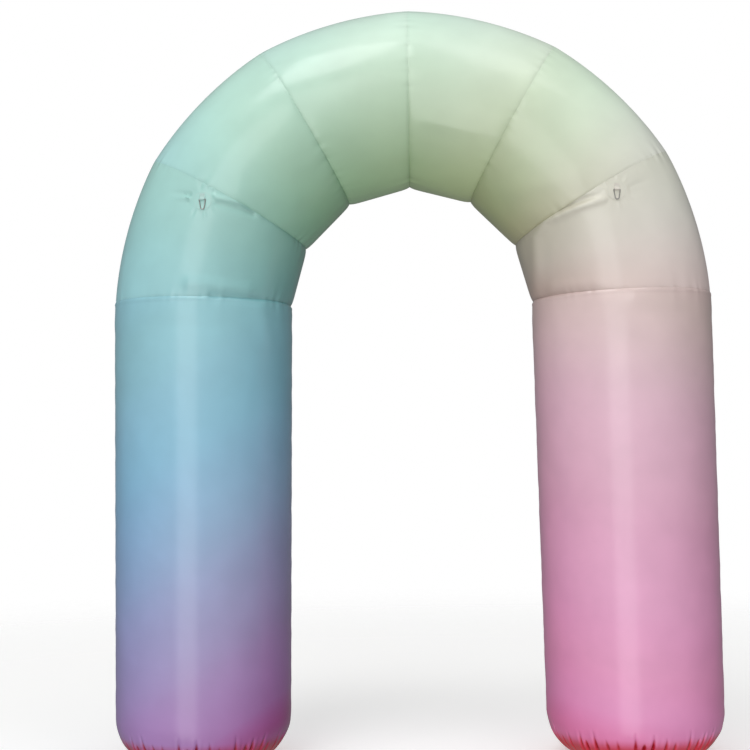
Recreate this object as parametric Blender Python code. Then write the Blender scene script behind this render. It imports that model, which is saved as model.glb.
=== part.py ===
"""An inflatable arch: two round legs of printed cloth under a half-circle bend of six gores.

Metres, +Z up. The origin is on the ground midway between the feet, in the arch's middle plane.
The front, with the two tether rings, faces -Y, and +X points from the left leg to the right one.
"""
import math

import bmesh
import bpy
from mathutils import Vector

# Arch
BEND_CENTRE_Z = 2.264           # height of the bend's centre above the ground
SEAMS = (1.44, 30.0, 60.0, 90.0, 120.0, 150.0, 178.56)    # degrees around the bend, from the right leg
INNER_RADIUS = 0.6105           # bend centre to the inner end of a seam; a gore's inner side is straight
OUTER_RADIUS = 1.490            # bend centre to the middle of a gore's outer side
OUTER_CORNER = 0.010            # how much further out a seam stands than that middle
HALF_DEPTH = 0.449              # half of the tube's depth, front to back
SEAM_DRAW = 0.005               # how much of the half depth is drawn in at a seam
SEAM_PINCH = 0.003              # sharper dip in the last few centimetres beside a seam
PINCH_REACH = 0.022
SEAM_GAP = 0.0003               # two panels lie this far apart

# Legs
LEG_TOP_X = 1.0565              # leg centre at the bend, and how far the foot stands further out
LEG_SPREAD = 0.022
LEG_TOP_RADIUS = 0.4475
LEG_FOOT_RADIUS = 0.4365
FOOT_ROUNDING = 0.240           # radius of the round edge between the leg's side and the ground
HEM_HEIGHT = 0.045              # the leg's gathered hem meets the base cloth at this height
GATHERS = 40                    # gathers around a hem
GATHER_DEPTH = 0.009
GATHER_REACH = 0.140            # how far the gathers run up the leg

# Tether fittings
PATCH_RADIUS = 0.046
PATCH_THICK = 0.0012
PATCH_LIFT = 0.0008             # from the panel's true surface to the patch's underside
TAB_WIDTH = 0.024
TAB_LENGTH = 0.030
TAB_THICK = 0.0032              # two layers of webbing
LOOP_OUTER = 0.0049
LOOP_INNER = 0.0029
RING_WIRE = 0.00225
RING_HALF_WIDTH = 0.0155
RING_LENGTH = 0.052
RING_TIP_RADIUS = 0.009
RING_CORNER = 0.0035
RING_TIP_DROP = 0.0035          # how much nearer to the cloth the ring's tip hangs than its bar

# Gores from the right leg over the crown to the left leg
GORE_NAMES = ("shoulder_right", "haunch_right", "crown_right", "crown_left", "haunch_left", "shoulder_left")
AROUND = {"shoulder": 64, "haunch": 44, "crown": 44}      # faces around each kind of gore
ALONG = {"shoulder": 14, "haunch": 7, "crown": 7}         # faces along it

# Folds on the front: from (x, z) to (x, z), how high the fold stands (minus: how deep), half width
FOLDS = {
    "shoulder_left": (
        ((-0.934, 2.762), (-0.840, 2.742), 0.006, 0.017),     # strained cloth beside the patch
        ((-1.140, 2.803), (-1.062, 2.786), -0.005, 0.013),
        ((-0.925, 2.790), (-0.700, 2.660), 0.004, 0.018),     # lip under the upper seam
        ((-1.060, 2.352), (-0.800, 2.322), 0.010, 0.034),     # cloth that hangs over the leg's seam
        ((-0.960, 2.296), (-0.740, 2.286), -0.006, 0.014),
    ),
    "shoulder_right": (
        ((0.905, 2.712), (0.652, 2.638), 0.011, 0.020),       # ridge from the patch to the inner side
        ((0.652, 2.638), (0.612, 2.570), 0.010, 0.024),
        ((0.900, 2.746), (0.670, 2.664), -0.013, 0.018),      # trough between that ridge and the seam
        ((0.612, 2.570), (0.622, 2.330), 0.008, 0.030),       # edge down the inner side
        ((1.060, 2.780), (1.160, 2.822), -0.005, 0.015),      # strained cloth beside the patch
        ((0.700, 2.312), (0.900, 2.318), 0.006, 0.030),
    ),
    "haunch_left": (((-0.560, 2.760), (-0.800, 2.800), 0.004, 0.050),),
    "haunch_right": (((0.560, 2.790), (0.800, 2.820), 0.005, 0.050),),
    "crown_left": (),
    "crown_right": (((0.090, 3.120), (0.310, 3.060), 0.003, 0.030),),
    "leg_left": (((-0.740, 2.235), (-0.690, 2.060), 0.006, 0.035),),
    "leg_right": (((1.060, 2.250), (1.110, 2.225), 0.004, 0.030),),
}

# Tethers: side, then x and z of the patch's centre on the front
TETHERS = (("left", -0.996, 2.748), ("right", 0.985, 2.757))

# Colours
CLOTH_COLOURS = {
    "leg_left": (0.33, 0.42, 0.66),
    "shoulder_left": (0.36, 0.62, 0.63),
    "haunch_left": (0.42, 0.70, 0.60),
    "crown_left": (0.55, 0.75, 0.56),
    "crown_right": (0.62, 0.74, 0.52),
    "haunch_right": (0.64, 0.68, 0.52),
    "shoulder_right": (0.65, 0.60, 0.54),
    "leg_right": (0.74, 0.42, 0.56),
    "base_left": (0.46, 0.05, 0.09),
    "base_right": (0.50, 0.05, 0.09),
    "patch_left": (0.45, 0.66, 0.62),
    "patch_right": (0.68, 0.66, 0.60),
    "tab_left": (0.60, 0.72, 0.68),
    "tab_right": (0.72, 0.70, 0.66),
}
CLOTH_ROUGHNESS = 0.42
STEEL_COLOUR = (0.42, 0.41, 0.40)
STEEL_ROUGHNESS = 0.30


def clear_scene():
    for item in list(bpy.data.objects):
        bpy.data.objects.remove(item, do_unlink=True)


def material(name, colour, roughness, metallic=0.0):
    surface = bpy.data.materials.new(name)
    surface.use_nodes = True
    shader = surface.node_tree.nodes["Principled BSDF"]
    shader.inputs["Base Color"].default_value = (*colour, 1.0)
    shader.inputs["Roughness"].default_value = roughness
    shader.inputs["Metallic"].default_value = metallic
    return surface


def add_object(name, mesh_builder, colour, roughness=CLOTH_ROUGHNESS, metallic=0.0):
    """Turn a bmesh into a named, smooth-shaded object with its own material."""
    bmesh.ops.recalc_face_normals(mesh_builder, faces=mesh_builder.faces)
    mesh = bpy.data.meshes.new(name)
    mesh_builder.to_mesh(mesh)
    mesh_builder.free()
    mesh.shade_smooth()
    mesh.set_sharp_from_angle(angle=math.radians(35))
    mesh.materials.append(material(name, colour, roughness, metallic))
    piece = bpy.data.objects.new(name, mesh)
    bpy.context.scene.collection.objects.link(piece)
    return piece


def fold_height(folds, x, z):
    """How far the folds push the cloth out at a place on the front."""
    total = 0.0
    for start, end, height, half_width in folds:
        a = Vector(start)
        run = Vector(end) - a
        along = max(0.0, min(1.0, (Vector((x, z)) - a).dot(run) / run.length_squared))
        distance = (Vector((x, z)) - a - run * along).length
        total += height * math.exp(-(distance / half_width) ** 2)
    return total


def gore_section(index, bend_angle):
    """Centre radius, half width and half depth of the tube at an angle along one gore."""
    half_turn = (SEAMS[index + 1] - SEAMS[index]) / 2
    turn = bend_angle - SEAMS[index] - half_turn
    inner = INNER_RADIUS * math.cos(math.radians(half_turn)) / math.cos(math.radians(turn))
    outer = OUTER_RADIUS + OUTER_CORNER * (turn / half_turn) ** 2
    centre = (inner + outer) / 2
    seam_distance = math.radians(half_turn - abs(turn)) * centre
    pinch = SEAM_PINCH * math.exp(-seam_distance / PINCH_REACH)
    half_depth = HALF_DEPTH - SEAM_DRAW * (turn / half_turn) ** 2
    return centre, (outer - inner) / 2 - pinch, half_depth - pinch


def bend_point(index, bend_angle, around, folds=()):
    """A point on one gore's skin: degrees along the bend, radians around the tube."""
    centre, half_width, half_depth = gore_section(index, bend_angle)
    phi = math.radians(bend_angle)
    out = Vector((math.cos(phi), 0.0, math.sin(phi)))
    direction = out * math.cos(around) + Vector((0.0, math.sin(around), 0.0))
    middle = Vector((0.0, 0.0, BEND_CENTRE_Z)) + out * centre
    skin = middle + out * (half_width * math.cos(around)) + Vector((0.0, half_depth * math.sin(around), 0.0))
    if folds and math.sin(around) < 0:
        skin += direction * fold_height(folds, skin.x, skin.z)
    return skin


def seam_normal(bend_angle):
    """Across a seam, towards the next gore."""
    phi = math.radians(bend_angle)
    return Vector((-math.sin(phi), 0.0, math.cos(phi)))


def around_angles(count):
    """Angles around the tube, starting at the back and closer together on the front."""
    crowding = 0.42
    angles = []
    for i in range(count):
        u = 2 * math.pi * i / count
        angles.append(math.pi / 2 + u + crowding * math.sin(u))
    return angles


def add_loft(builder, rings):
    """Join closed rings of equal length with quads, and close both ends."""
    loops = [[builder.verts.new(point) for point in ring] for ring in rings]
    for lower, upper in zip(loops, loops[1:]):
        for i in range(len(lower)):
            j = (i + 1) % len(lower)
            builder.faces.new((lower[i], lower[j], upper[j], upper[i]))
    return loops


def make_gore(index):
    name = GORE_NAMES[index]
    kind = name.split("_")[0]
    start, end = SEAMS[index], SEAMS[index + 1]
    angles = around_angles(AROUND[kind])
    rows = ALONG[kind]
    rings = []
    for row in range(rows + 1):
        share = 0.5 - 0.5 * math.cos(math.pi * row / rows)
        bend_angle = start + (end - start) * share
        rings.append([bend_point(index, bend_angle, a, FOLDS[name]) for a in angles])
    rings[0] = [point + seam_normal(start) * (SEAM_GAP / 2) for point in rings[0]]
    rings[-1] = [point - seam_normal(end) * (SEAM_GAP / 2) for point in rings[-1]]
    builder = bmesh.new()
    loops = add_loft(builder, rings)
    builder.faces.new(loops[0])
    builder.faces.new(loops[-1])
    add_object(name, builder, CLOTH_COLOURS[name])


def gather_angles():
    """Three angles for each gather, crest, crest and valley, with widths as uneven as hand gathering."""
    widths = [1.0 + 0.32 * math.sin(2.4 * i) + 0.22 * math.sin(5.1 * i + 1.0) for i in range(GATHERS)]
    scale = 2 * math.pi / sum(widths)
    angles = []
    start = 0.0
    for width in widths:
        step = width * scale
        angles += [start + 0.22 * step, start + 0.70 * step, start + step]
        start += step
    return angles


def gather_depth(corner, height):
    """How deep the hem's gathers are drawn in: corner counts the angles of gather_angles."""
    if corner % 3 != 2:
        return 0.0
    strength = 0.75 + 0.35 * math.sin(1.7 * corner)
    rise = max(0.0, 1.0 - abs(height - HEM_HEIGHT) / GATHER_REACH)
    if height < HEM_HEIGHT:
        rise = max(0.0, height / HEM_HEIGHT)
    return GATHER_DEPTH * strength * rise


def foot_radius(height):
    """Radius of the foot's round edge at a height above the ground."""
    if height >= FOOT_ROUNDING:
        return LEG_FOOT_RADIUS
    rise = FOOT_ROUNDING - height
    return LEG_FOOT_RADIUS - FOOT_ROUNDING + math.sqrt(FOOT_ROUNDING ** 2 - rise ** 2)


def foot_ring(side, height, angles, gathered):
    ring = []
    for corner, angle in enumerate(angles):
        radius = foot_radius(height)
        if gathered:
            radius -= gather_depth(corner, height)
        centre_x = side * (LEG_TOP_X + LEG_SPREAD * (1 - height / BEND_CENTRE_Z))
        ring.append(Vector((centre_x + radius * math.cos(angle), radius * math.sin(angle), height)))
    return ring


def leg_ring(name, side, share, angles):
    """A ring of the leg's shaft, share of the way from the bend down to the foot's round edge."""
    index = 0 if side > 0 else len(GORE_NAMES) - 1
    bend_angle = SEAMS[0] if side > 0 else SEAMS[-1]
    ring = []
    for angle in angles:
        around = angle if side > 0 else math.pi - angle
        seam = bend_point(index, bend_angle, around)
        height = seam.z + (FOOT_ROUNDING - seam.z) * share
        below = seam.z - height
        radius = LEG_TOP_RADIUS + (LEG_FOOT_RADIUS - LEG_TOP_RADIUS) * share
        centre_x = side * (LEG_TOP_X + LEG_SPREAD * share * (1 - FOOT_ROUNDING / BEND_CENTRE_Z))
        shaft = Vector((centre_x + radius * math.cos(angle), radius * math.sin(angle), height))
        blend = math.exp(-below / PINCH_REACH)
        point = shaft + (Vector((seam.x, seam.y, height)) - shaft) * blend
        if math.sin(angle) < 0:
            lift = fold_height(FOLDS[name], point.x, point.z) * (1 - blend)
            point += Vector((math.cos(angle), math.sin(angle), 0.0)) * lift
        ring.append(point)
    if share == 0:
        ring = [point - seam_normal(bend_angle) * (side * SEAM_GAP / 2) for point in ring]
    return ring


def make_leg(side_name, side):
    name = "leg_" + side_name
    shares = (0.0, 0.012, 0.03, 0.06, 0.11, 0.2, 0.34, 0.5, 0.66, 0.82, 1.0)
    fine_angles = gather_angles()
    coarse_angles = fine_angles[::3]
    builder = bmesh.new()
    shaft = add_loft(builder, [leg_ring(name, side, share, coarse_angles) for share in shares])
    round_edge = FOOT_ROUNDING - HEM_HEIGHT
    heights = [HEM_HEIGHT + round_edge * share for share in (0.96, 0.72, 0.5, 0.31, 0.14, 0.0)]
    hem = add_loft(builder, [foot_ring(side, height, fine_angles, True) for height in heights])
    upper, lower = shaft[-1], hem[0]
    for i in range(GATHERS):
        j = (i + 1) % GATHERS
        a, b, c, d = (lower[(3 * i + k) % len(lower)] for k in range(4))
        builder.faces.new((upper[i], b, a))
        builder.faces.new((upper[i], c, b))
        builder.faces.new((upper[i], upper[j], c))
        builder.faces.new((upper[j], d, c))
    builder.faces.new(shaft[0])
    builder.faces.new(hem[-1])
    add_object(name, builder, CLOTH_COLOURS[name])


def make_base(side_name, side):
    name = "base_" + side_name
    angles = gather_angles()
    heights = (HEM_HEIGHT - SEAM_GAP, HEM_HEIGHT * 0.5, HEM_HEIGHT * 0.16, 0.0)
    builder = bmesh.new()
    loops = add_loft(builder, [foot_ring(side, height, angles, True) for height in heights])
    builder.faces.new(loops[0])
    builder.faces.new(loops[-1])
    add_object(name, builder, CLOTH_COLOURS[name])


def front_depth(folds, x, z):
    """How far the shoulder's front stands before the arch's middle plane at (x, z)."""
    reach = math.hypot(x, z - BEND_CENTRE_Z)
    bend_angle = math.degrees(math.atan2(z - BEND_CENTRE_Z, x))
    index = sum(bend_angle > seam for seam in SEAMS) - 1
    centre, half_width, half_depth = gore_section(index, bend_angle)
    side_cos = (reach - centre) / half_width
    return half_depth * math.sqrt(1 - side_cos ** 2) + fold_height(folds, x, z)


def front_point(folds, x, z):
    """A point on the shoulder's front, and the outward normal there."""
    step = 0.002
    depth = front_depth(folds, x, z)
    slope_x = (front_depth(folds, x + step, z) - front_depth(folds, x - step, z)) / (2 * step)
    slope_z = (front_depth(folds, x, z + step) - front_depth(folds, x, z - step)) / (2 * step)
    return Vector((x, -depth, z)), Vector((-slope_x, -1.0, -slope_z)).normalized()


def tether_frame(side_name, x, z):
    """Patch centre with its across, down and outward directions."""
    centre, normal = front_point(FOLDS["shoulder_" + side_name], x, z)
    across = Vector((1.0, 0.0, 0.0))
    across = (across - normal * across.dot(normal)).normalized()
    down = normal.cross(across)
    if down.z > 0:
        down = -down
    return centre, across, down, normal


def make_patch(side_name, x, z):
    """A round patch that lies on the shoulder's curve."""
    name = "patch_" + side_name
    centre, across, down, normal = tether_frame(side_name, x, z)
    folds = FOLDS["shoulder_" + side_name]
    radii = (0.010, 0.022, 0.034, PATCH_RADIUS)
    segments = 28
    builder = bmesh.new()
    layers = []
    for lift in (PATCH_LIFT, PATCH_LIFT + PATCH_THICK):
        rings = []
        for radius in (0.0, *radii):
            ring = []
            for i in range(segments if radius else 1):
                turn = 2 * math.pi * i / segments
                flat = centre + across * (radius * math.cos(turn)) + down * (radius * math.sin(turn))
                skin, facing = front_point(folds, flat.x, flat.z)
                ring.append(builder.verts.new(skin + facing * lift))
            rings.append(ring)
        layers.append(rings)
    for rings in layers:
        hub = rings[0][0]
        for i in range(segments):
            j = (i + 1) % segments
            builder.faces.new((hub, rings[1][i], rings[1][j]))
            for inner, outer in zip(rings[1:], rings[2:]):
                builder.faces.new((inner[i], outer[i], outer[j], inner[j]))
    under, upper = layers[0][-1], layers[1][-1]
    for i in range(segments):
        j = (i + 1) % segments
        builder.faces.new((under[i], under[j], upper[j], upper[i]))
    add_object(name, builder, CLOTH_COLOURS[name])


def tab_seat(frame):
    """Middle of the ring's bar, a little above the patch's middle."""
    centre, across, down, normal = frame
    return centre - down * 0.006 + normal * (PATCH_LIFT + PATCH_THICK + SEAM_GAP + LOOP_OUTER)


def make_tab(side_name, x, z):
    """Webbing folded over the ring's bar: two layers sewn down, and a loop around the bar."""
    name = "tab_" + side_name
    frame = tether_frame(side_name, x, z)
    across, down, normal = frame[1:]
    bar = tab_seat(frame)
    outline = [(-TAB_LENGTH, TAB_THICK - LOOP_OUTER), (-TAB_LENGTH, -LOOP_OUTER)]
    steps = 12
    for i in range(steps + 1):
        turn = math.radians(-90 + 210 * i / steps)
        outline.append((LOOP_OUTER * math.cos(turn), LOOP_OUTER * math.sin(turn)))
    outline.append((-0.013, TAB_THICK - LOOP_OUTER))
    builder = bmesh.new()
    sides = []
    for reach in (-TAB_WIDTH / 2, TAB_WIDTH / 2):
        sides.append([builder.verts.new(bar + across * reach + down * v + normal * n) for v, n in outline])
    for i in range(len(outline)):
        j = (i + 1) % len(outline)
        builder.faces.new((sides[0][i], sides[0][j], sides[1][j], sides[1][i]))
    for side in sides:
        builder.faces.new(side)
    tab = add_object(name, builder, CLOTH_COLOURS[name])
    cutter_builder = bmesh.new()
    bmesh.ops.create_cone(
        cutter_builder, cap_ends=True, segments=16, radius1=LOOP_INNER, radius2=LOOP_INNER, depth=TAB_WIDTH * 2
    )
    turn = Vector((0.0, 0.0, 1.0)).rotation_difference(across).to_matrix()
    bmesh.ops.rotate(cutter_builder, matrix=turn, verts=cutter_builder.verts)
    bmesh.ops.translate(cutter_builder, vec=bar, verts=cutter_builder.verts)
    cutter = add_object(name + "_eye", cutter_builder, CLOTH_COLOURS[name])
    cutter.hide_render = True
    cutter.display_type = "WIRE"
    cut = tab.modifiers.new("bar_eye", "BOOLEAN")
    cut.operation = "DIFFERENCE"
    cut.object = cutter


def arc(centre, radius, start, end, steps):
    """Points of an arc, from start to end degrees."""
    points = []
    for i in range(steps + 1):
        turn = math.radians(start + (end - start) * i / steps)
        points.append((centre[0] + radius * math.cos(turn), centre[1] + radius * math.sin(turn)))
    return points


def make_ring(side_name, x, z):
    """A long D-ring of round wire: straight bar on top, sides that run in to a round tip."""
    name = "ring_" + side_name
    frame = tether_frame(side_name, x, z)
    across, down, normal = frame[1:]
    bar = tab_seat(frame)
    half = RING_HALF_WIDTH
    tip = RING_LENGTH - RING_WIRE * 2 - RING_TIP_RADIUS
    path = arc((half - RING_CORNER, RING_CORNER), RING_CORNER, -90, 0, 4)
    path += arc((0.0, tip), RING_TIP_RADIUS, 0, 180, 10)
    path += arc((RING_CORNER - half, RING_CORNER), RING_CORNER, 180, 270, 4)
    curve = bpy.data.curves.new(name, "CURVE")
    curve.dimensions = "3D"
    curve.bevel_depth = RING_WIRE
    curve.bevel_resolution = 2
    spline = curve.splines.new("POLY")
    spline.points.add(len(path) - 1)
    spline.use_cyclic_u = True
    for point, (u, v) in zip(spline.points, path):
        place = bar + across * u + down * v - normal * (RING_TIP_DROP * v / RING_LENGTH)
        point.co = (*place, 1.0)
    curve.materials.append(material(name, STEEL_COLOUR, STEEL_ROUGHNESS, 1.0))
    ring = bpy.data.objects.new(name, curve)
    bpy.context.scene.collection.objects.link(ring)


clear_scene()
for gore in range(len(GORE_NAMES)):
    make_gore(gore)
for side_word, side_sign in (("left", -1), ("right", 1)):
    make_leg(side_word, side_sign)
    make_base(side_word, side_sign)
for side_word, patch_x, patch_z in TETHERS:
    make_patch(side_word, patch_x, patch_z)
    make_tab(side_word, patch_x, patch_z)
    make_ring(side_word, patch_x, patch_z)
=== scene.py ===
import math

import bpy
import numpy as np
from mathutils import Matrix, Vector


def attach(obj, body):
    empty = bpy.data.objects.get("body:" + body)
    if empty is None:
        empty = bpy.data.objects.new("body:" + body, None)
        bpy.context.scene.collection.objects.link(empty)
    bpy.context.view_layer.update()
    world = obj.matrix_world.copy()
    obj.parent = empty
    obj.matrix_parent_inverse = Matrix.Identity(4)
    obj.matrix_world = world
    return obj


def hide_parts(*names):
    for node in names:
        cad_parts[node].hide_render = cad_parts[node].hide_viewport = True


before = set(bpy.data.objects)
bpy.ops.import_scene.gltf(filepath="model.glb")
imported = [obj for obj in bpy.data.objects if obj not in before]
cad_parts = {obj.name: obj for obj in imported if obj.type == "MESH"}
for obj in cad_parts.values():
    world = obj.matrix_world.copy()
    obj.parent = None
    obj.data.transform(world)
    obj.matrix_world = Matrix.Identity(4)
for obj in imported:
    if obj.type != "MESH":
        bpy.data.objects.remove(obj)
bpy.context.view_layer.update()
scene = bpy.context.scene

# Studio: a camera at eye height in front of the arch, a pale floor that fades out, and three soft
# lights from above. The surround is white, brightest below, above and in front and darker at the
# sides and behind, which rounds the tube, with a tall window a little left of the front.
CAMERA_PLACE = (-0.0235, -7.25, 1.544)
CAMERA_LENS = 68.81
CAMERA_SENSOR = 36.0
CAMERA_TURN = 0.0232            # radians to the left, up, and rolled
CAMERA_PITCH = 0.0517
CAMERA_ROLL = -0.0158
FLOOR_RADIUS = 14.0
FLOOR_FADE = (2.6, 9.0)         # metres from the middle where the floor starts and ends fading
FLOOR_COLOUR = (0.90, 0.90, 0.895, 1.0)
FLOOR_ROUGHNESS = 0.85
FLOOR_SPECULAR = 0.2
FLOOR_GLOW = 0.45               # only as the camera sees it; it lights nothing
SURROUND_RIGHT_BACK_TOP = (0.17, 0.20, 0.53)        # strength of the surround's six soft lobes
SURROUND_LEFT_FRONT_BELOW = (0.21, 0.50, 0.66)
WINDOW_TURN = -0.245            # radians from the front, and half the window's width
WINDOW_HALF = 0.225
WINDOW_SOFT = 0.035
WINDOW_RISE = (-0.60, 0.50)     # sine of the elevation of its lower and upper end
WINDOW_STRENGTH = 2.3
LIGHT_AIM = Vector((0.0, 0.0, 1.8))
LIGHT_DISTANCE = 9.0
LIGHT_SIZE = 3.6

camera_data = bpy.data.cameras.new("camera")
camera_data.sensor_width = CAMERA_SENSOR
camera_data.lens = CAMERA_LENS
camera = bpy.data.objects.new("camera", camera_data)
scene.collection.objects.link(camera)
camera.matrix_world = (
    Matrix.Translation(CAMERA_PLACE)
    @ Matrix.Rotation(CAMERA_TURN, 4, "Z")
    @ Matrix.Rotation(math.pi / 2 + CAMERA_PITCH, 4, "X")
    @ Matrix.Rotation(CAMERA_ROLL, 4, "Z")
)
scene.camera = camera
scene.view_settings.view_transform = "Standard"


def node(tree, kind, inputs=None, **settings):
    """Add a shader node, set its options, and fill or link its inputs by name or number."""
    made = tree.nodes.new("ShaderNode" + kind)
    for key, value in settings.items():
        setattr(made, key, value)
    for key, value in (inputs or {}).items():
        if isinstance(value, bpy.types.NodeSocket):
            tree.links.new(value, made.inputs[key])
        else:
            made.inputs[key].default_value = value
    return made


def maths(tree, operation, *values):
    """The result of a Math node."""
    return node(tree, "Math", dict(enumerate(values)), operation=operation).outputs[0]


def ramped(tree, value, span, ends=(0.0, 1.0), kind="LINEAR"):
    """A value carried over from one span to another, and held at its ends."""
    return node(tree, "MapRange", {
        "Value": value, "From Min": span[0], "From Max": span[1], "To Min": ends[0], "To Max": ends[1],
    }, interpolation_type=kind).outputs[0]


def new_material(name):
    """A new material, its node tree and its shader."""
    material = bpy.data.materials.new(name)
    material.use_nodes = True
    return material, material.node_tree, material.node_tree.nodes["Principled BSDF"]


def soft_light(name, azimuth, elevation, power):
    """A soft light that looks at the middle of the arch. Azimuth 0 is in front, minus is left."""
    turn, rise = math.radians(azimuth), math.radians(elevation)
    away = Vector((math.sin(turn) * math.cos(rise), -math.cos(turn) * math.cos(rise), math.sin(rise)))
    data = bpy.data.lights.new(name, "AREA")
    data.shape = "RECTANGLE"
    data.size = data.size_y = LIGHT_SIZE
    data.energy = power
    light = bpy.data.objects.new(name, data)
    scene.collection.objects.link(light)
    light.location = LIGHT_AIM + away * LIGHT_DISTANCE
    light.rotation_euler = away.to_track_quat("Z", "Y").to_euler()


soft_light("key_light", -30, 60, 200)
soft_light("second_light", 35, 60, 84)
soft_light("top_light", -10, 80, 40)

world = bpy.data.worlds.new("surround")
world.use_nodes = True
scene.world = world
sky = world.node_tree
sky.nodes.clear()
direction = node(sky, "TexCoord").outputs["Generated"]
lobes = []
for half, weights in (("MAXIMUM", SURROUND_RIGHT_BACK_TOP), ("MINIMUM", SURROUND_LEFT_FRONT_BELOW)):
    part = node(sky, "VectorMath", {0: direction, 1: (0, 0, 0)}, operation=half).outputs[0]
    lobe = node(sky, "VectorMath", {0: part, 1: part}, operation="MULTIPLY").outputs[0]
    lobes.append(node(sky, "VectorMath", {0: lobe, 1: weights}, operation="DOT_PRODUCT").outputs["Value"])
toward = node(sky, "SeparateXYZ", {0: direction}).outputs
turn = maths(sky, "ARCTAN2", toward["X"], maths(sky, "MULTIPLY", toward["Y"], -1.0))
aside = maths(sky, "ABSOLUTE", maths(sky, "SUBTRACT", turn, WINDOW_TURN))
window = ramped(sky, aside, (WINDOW_HALF + WINDOW_SOFT, WINDOW_HALF - WINDOW_SOFT), kind="SMOOTHSTEP")
for edge, soft in zip(WINDOW_RISE, (WINDOW_SOFT, -WINDOW_SOFT)):
    inside = ramped(sky, toward["Z"], (edge - soft, edge + soft), kind="SMOOTHSTEP")
    window = maths(sky, "MULTIPLY", window, inside)
surround = maths(sky, "MULTIPLY_ADD", window, WINDOW_STRENGTH, maths(sky, "ADD", *lobes))
seen = node(sky, "LightPath").outputs["Is Camera Ray"]
strength = node(sky, "Mix", {"Factor": seen, "A": surround, "B": 1.0}).outputs["Result"]
backdrop = node(sky, "Background", {"Color": (1, 1, 1, 1), "Strength": strength})
node(sky, "OutputWorld", {"Surface": backdrop.outputs[0]})

bpy.ops.object.select_all(action="DESELECT")
bpy.ops.mesh.primitive_circle_add(vertices=96, radius=FLOOR_RADIUS, fill_type="NGON", location=(0, 0, 0))
floor = bpy.context.object
floor.name = "floor"
floor_paint, tree, shader = new_material("floor_paint")
place = node(tree, "TexCoord").outputs["Object"]
reach = node(tree, "VectorMath", {0: place}, operation="LENGTH").outputs["Value"]
fade = ramped(tree, reach, FLOOR_FADE, (1.0, 0.0), "SMOOTHSTEP")
glow = maths(tree, "MULTIPLY", node(tree, "LightPath").outputs["Is Camera Ray"], FLOOR_GLOW)
shader.inputs["Base Color"].default_value = FLOOR_COLOUR
shader.inputs["Roughness"].default_value = FLOOR_ROUGHNESS
shader.inputs["Specular IOR Level"].default_value = FLOOR_SPECULAR
shader.inputs["Emission Color"].default_value = FLOOR_COLOUR
tree.links.new(glow, shader.inputs["Emission Strength"])
tree.links.new(fade, shader.inputs["Alpha"])
floor.data.materials.append(floor_paint)
floor.visible_diffuse = floor.visible_glossy = False

# Bend: six wedge-shaped gores of printed polyester, sewn edge to edge and blown up tight. Each seam
# draws the tube in, so the cloth bellies between seams and puckers in the last few centimetres.
BEND_CENTRE_Z = 2.264           # height of the bend's centre above the ground
SEAMS = (1.44, 30.0, 60.0, 90.0, 120.0, 150.0, 178.56)    # degrees around the bend, from the right leg
INNER_RADIUS = 0.6105
OUTER_RADIUS = 1.490
OUTER_CORNER = 0.010
HALF_DEPTH = 0.449
SEAM_DRAW = 0.005
SEAM_PINCH = 0.001
PINCH_REACH = 0.022
SEAM_GAP = 0.0003
NO_SEAM = 1.0                   # distance to the nearest seam on a piece that has none
TUBE_RADIUS = 0.444             # mean radius, for lengths around the tube
PUCKER_HEIGHT = 0.00085
GROOVE_DEPTH = 0.0030           # sharp groove where the stitching pulls the cloth in
GROOVE_REACH = 0.0060
VALLEY_DEPTH = 0.0040           # soft valley beside a seam on the inner side of the bend
VALLEY_REACH = 0.024
GORE_AROUND = 480
GORE_ROWS = 60
GORE_NAMES = ("shoulder_right", "haunch_right", "crown_right", "crown_left", "haunch_left", "shoulder_left")
FRONT_FADE = 0.12               # folds on the front fade out over this much of the tube's depth
TETHERS = {"left": (-0.996, 2.748), "right": (0.985, 2.757)}       # x and z of each tether patch's middle
PATCH_PUCKER = 0.0016
CALM_REACH = (0.047, 0.070)     # the patch holds the cloth smooth as far as this from its middle

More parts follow.
